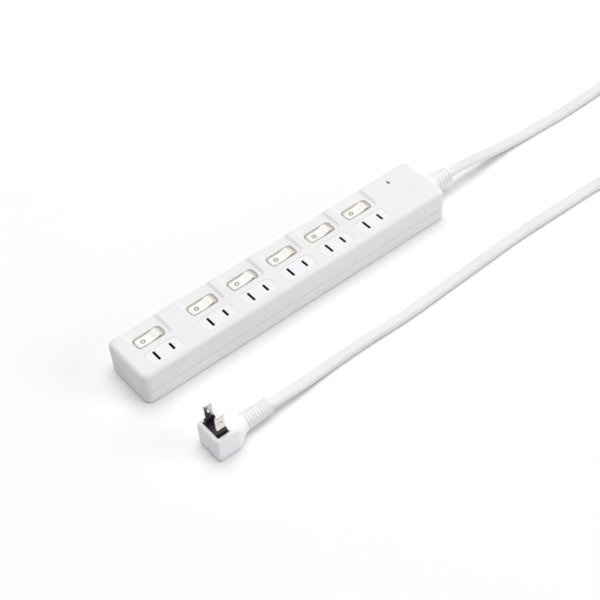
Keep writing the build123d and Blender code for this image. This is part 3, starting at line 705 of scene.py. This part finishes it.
def plug_rings():
    """Rings from the rounded front of the plug over its shoulder to the ribbed boot."""
    rings = []
    for step in range(7):
        angle = radians(90 * step / 6)
        inset = PLUG_EDGE * (1 - sin(angle))
        u = PLUG_FRONT + PLUG_EDGE * (1 - cos(angle))
        rings.append(plug_ring(u, PLUG_HALF_WIDTH - inset, inset, PLUG_FACE - inset,
                               max(2.2 * MM - 0.4 * inset, 0.6 * MM)))
    for u in (-3.0, 0.0, 3.0, 5.5, 7.5):
        rings.append(plug_ring(u * MM, PLUG_HALF_WIDTH, 0.0, PLUG_FACE, 2.2 * MM))
    neck_u, neck_radius = BOOT_START - 0.6 * MM, BOOT_RADII[0] - 0.2 * MM
    start_u, steps = 9.0 * MM, 10
    for step in range(steps + 1):
        share = step / steps
        narrowing = smooth_step(share) * 0.75 + share * 0.25
        half_width = PLUG_HALF_WIDTH + (neck_radius - PLUG_HALF_WIDTH) * narrowing
        low = (BOOT_Z - neck_radius) * narrowing
        high = PLUG_FACE + (BOOT_Z + neck_radius - PLUG_FACE) * narrowing
        radius = 2.2 * MM + (min(half_width, (high - low) / 2) - 2.25 * MM) * smooth_step(share * 1.1)
        rings.append(plug_ring(start_u + (neck_u - start_u) * share, half_width, low, high, radius))
    boot = ribbed_profile(BOOT_START, BOOT_END - 0.4 * MM, BOOT_RADII[0], BOOT_RADII[1], BOOT_RIBS, 1.3 * MM)
    boot += [(BOOT_END - 0.3 * MM, BOOT_RADII[1] - 0.3 * MM), (BOOT_END, BOOT_RADII[1] - 1.1 * MM)]
    for u, radius in boot:
        rings.append(plug_ring(u, radius, BOOT_Z - radius, BOOT_Z + radius, radius - 0.01 * MM))
    return rings


def cut_pocket(obj, node):
    """Cuts the space of a CAD node out of a piece."""
    low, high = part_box(node)
    work = bmesh.new()
    size = Vector(high) - Vector(low)
    centre = (Vector(high) + Vector(low)) / 2
    place = Matrix.Translation(centre) @ Matrix.Diagonal((*size, 1.0))
    bmesh.ops.create_cube(work, size=1.0, matrix=place)
    mesh = bpy.data.meshes.new("pocket")
    work.to_mesh(mesh)
    work.free()
    cutter = bpy.data.objects.new("pocket", mesh)
    bpy.context.collection.objects.link(cutter)
    cut = obj.modifiers.new("pocket", "BOOLEAN")
    cut.operation = "DIFFERENCE"
    cut.solver = "EXACT"
    cut.object = cutter
    graph = bpy.context.evaluated_depsgraph_get()
    result = bpy.data.meshes.new_from_object(obj.evaluated_get(graph))
    obj.modifiers.clear()
    obj.data = result
    bpy.data.objects.remove(cutter)


def build_plug():
    mesh = loft("plug_shell", plug_rings())
    obj = add_object("plug_shell", mesh, PLUG, "case", ("plug_body",))
    cut_pocket(obj, "plug_insert")
    obj.data.shade_smooth()
    return obj


# ================================================================ small pieces
SURGE_OUTLINE = ((-0.4, 2.4), (-1.5, -0.4), (-0.3, -0.4), (0.4, -2.4), (1.5, 0.4), (0.3, 0.4))
SURGE_CENTRE = (110.0 * MM, 12.2 * MM)
SURGE_TURN = radians(-25)
INK_THICKNESS = 0.03 * MM
TIE_THICKNESS = 0.5 * MM
TIE_CORNER = 2.4 * MM


def build_surge_mark():
    """Small printed zigzag near the cord end, a plain sign for surge protection."""
    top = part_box("upper_cover")[1][2]
    turn_cos, turn_sin = cos(SURGE_TURN), sin(SURGE_TURN)
    verts = []
    for z in (top - INK_THICKNESS, top + INK_THICKNESS):
        for x, y in SURGE_OUTLINE:
            verts.append(Vector((SURGE_CENTRE[0] + (x * turn_cos - y * turn_sin) * MM,
                                 SURGE_CENTRE[1] + (x * turn_sin + y * turn_cos) * MM, z)))
    count = len(SURGE_OUTLINE)
    faces = [tuple(range(count)), tuple(range(count, 2 * count))]
    faces += [(k, (k + 1) % count, count + (k + 1) % count, count + k) for k in range(count)]
    add_object("surge_mark", mesh_from("surge_mark", verts, faces), PRINT, "case")


def build_tie():
    """Closed woven strap round the coil."""
    low, high = (Vector(corner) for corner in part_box("coil_tie"))
    half_width = (high.y - low.y) / 2
    centre = (low + high) / 2
    half_x, half_z = (high.x - low.x) / 2, (high.z - low.z) / 2
    rings = []
    outer = rounded_outline(half_x, half_z, TIE_CORNER, 8)
    inner = rounded_outline(half_x - TIE_THICKNESS, half_z - TIE_THICKNESS, TIE_CORNER - TIE_THICKNESS, 8)
    for (ox, oz), (ix, iz) in zip(outer, inner):
        rings.append([Vector((centre.x + ix, centre.y - half_width, centre.z + iz)),
                      Vector((centre.x + ix, centre.y + half_width, centre.z + iz)),
                      Vector((centre.x + ox, centre.y + half_width, centre.z + oz)),
                      Vector((centre.x + ox, centre.y - half_width, centre.z + oz))])
    rings.append(rings[0])
    mesh = merged(loft("tie_strap", rings, close_ends=False))
    tie = add_object("tie_strap", mesh, TIE, "case", ("coil_tie",))
    return bevelled(tie, 0.12 * MM, 2)


# ================================================================ room, light and camera
def build_floor():
    mesh = mesh_from("floor", [(-FLOOR_HALF, -FLOOR_HALF, 0), (FLOOR_HALF, -FLOOR_HALF, 0),
                               (FLOOR_HALF, FLOOR_HALF, 0), (-FLOOR_HALF, FLOOR_HALF, 0)], [(0, 1, 2, 3)])
    floor = bpy.data.objects.new("floor", mesh)
    bpy.context.collection.objects.link(floor)
    mesh.materials.append(moulded("floor_paper", (0.97, 0.97, 0.97), 0.9, shade=0.01, clouds=2.0))


def add_area(name, place, size, power):
    """Square light that faces the middle of the frame."""
    light = bpy.data.lights.new(name, "AREA")
    light.energy = power
    light.size = size
    obj = bpy.data.objects.new(name, light)
    bpy.context.collection.objects.link(obj)
    obj.location = place
    obj.rotation_euler = (-Vector(place)).to_track_quat("-Z", "Y").to_euler()


OVERHEAD_PLACE, OVERHEAD_SIZE, OVERHEAD_POWER = (0.5, 0.7, 4.0), 4.4, 184.0
FRONT_PLACE, FRONT_SIZE, FRONT_POWER = (2.3, -2.6, 1.2), 1.8, 42.0
SKY_STRENGTH = 0.16


def build_light():
    world = bpy.data.worlds.new("studio")
    world.use_nodes = True
    background = world.node_tree.nodes["Background"]
    background.inputs["Color"].default_value = (1.0, 1.0, 1.0, 1.0)
    background.inputs["Strength"].default_value = SKY_STRENGTH
    bpy.context.scene.world = world
    add_area("overhead", OVERHEAD_PLACE, OVERHEAD_SIZE, OVERHEAD_POWER)
    add_area("front_fill", FRONT_PLACE, FRONT_SIZE, FRONT_POWER)
    bpy.context.scene.view_settings.view_transform = "Standard"


def build_camera():
    camera = bpy.data.cameras.new("camera")
    camera.lens = CAMERA_LENS
    camera.sensor_width = 36.0
    camera.clip_start, camera.clip_end = 0.01, 30.0
    obj = bpy.data.objects.new("camera", camera)
    bpy.context.collection.objects.link(obj)
    look = Vector(CAMERA_LOOK).normalized()
    right = look.cross(Vector(CAMERA_UP)).normalized()
    up = right.cross(look)
    turn = Matrix((right, up, -look)).transposed().to_4x4()
    obj.matrix_world = Matrix.Translation(CAMERA_PLACE) @ turn
    bpy.context.scene.camera = obj


# ================================================================ assembly
build_camera()
build_light()
build_floor()
dress_cad_nodes()
build_rockers()
bushing = build_bushing()
plug = build_plug()
tie = build_tie()
build_cord()
build_surge_mark()
